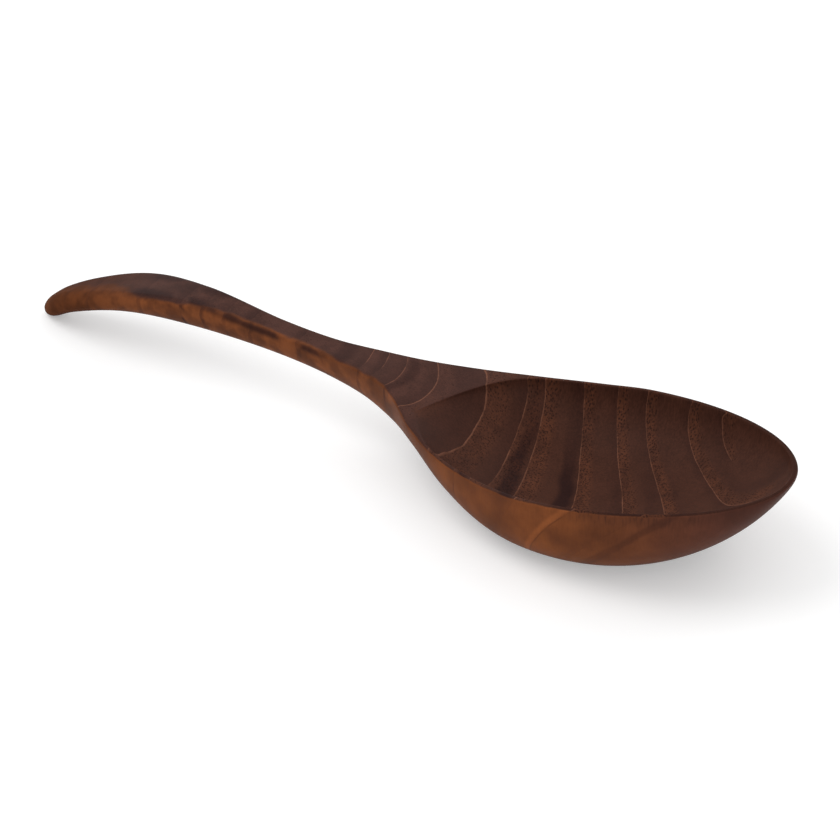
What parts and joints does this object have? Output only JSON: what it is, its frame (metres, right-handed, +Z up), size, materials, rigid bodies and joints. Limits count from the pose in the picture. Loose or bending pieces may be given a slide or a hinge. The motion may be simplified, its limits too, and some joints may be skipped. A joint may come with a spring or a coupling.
{
  "type": "wooden scoop",
  "caption": "Hardwood scoop carved from one block: deep pointed oval bowl, slim waist and a flat-topped handle that arches down to a rounded tail.",
  "frame": {"origin": "middle of the small flat under the belly of the bowl, on which the scoop rests", "axes": "+X along the table from the tail to the tip of the bowl, +Z up, +Y to the left of the bowl"},
  "size_m": [0.28, 0.0726, 0.0363],
  "materials": {
    "oiled_hardwood": "oiled satin, ring-porous grain"
  },
  "bodies": {
    "root": {"carved_scoop": "oiled_hardwood"}
  },
  "joints": []
}
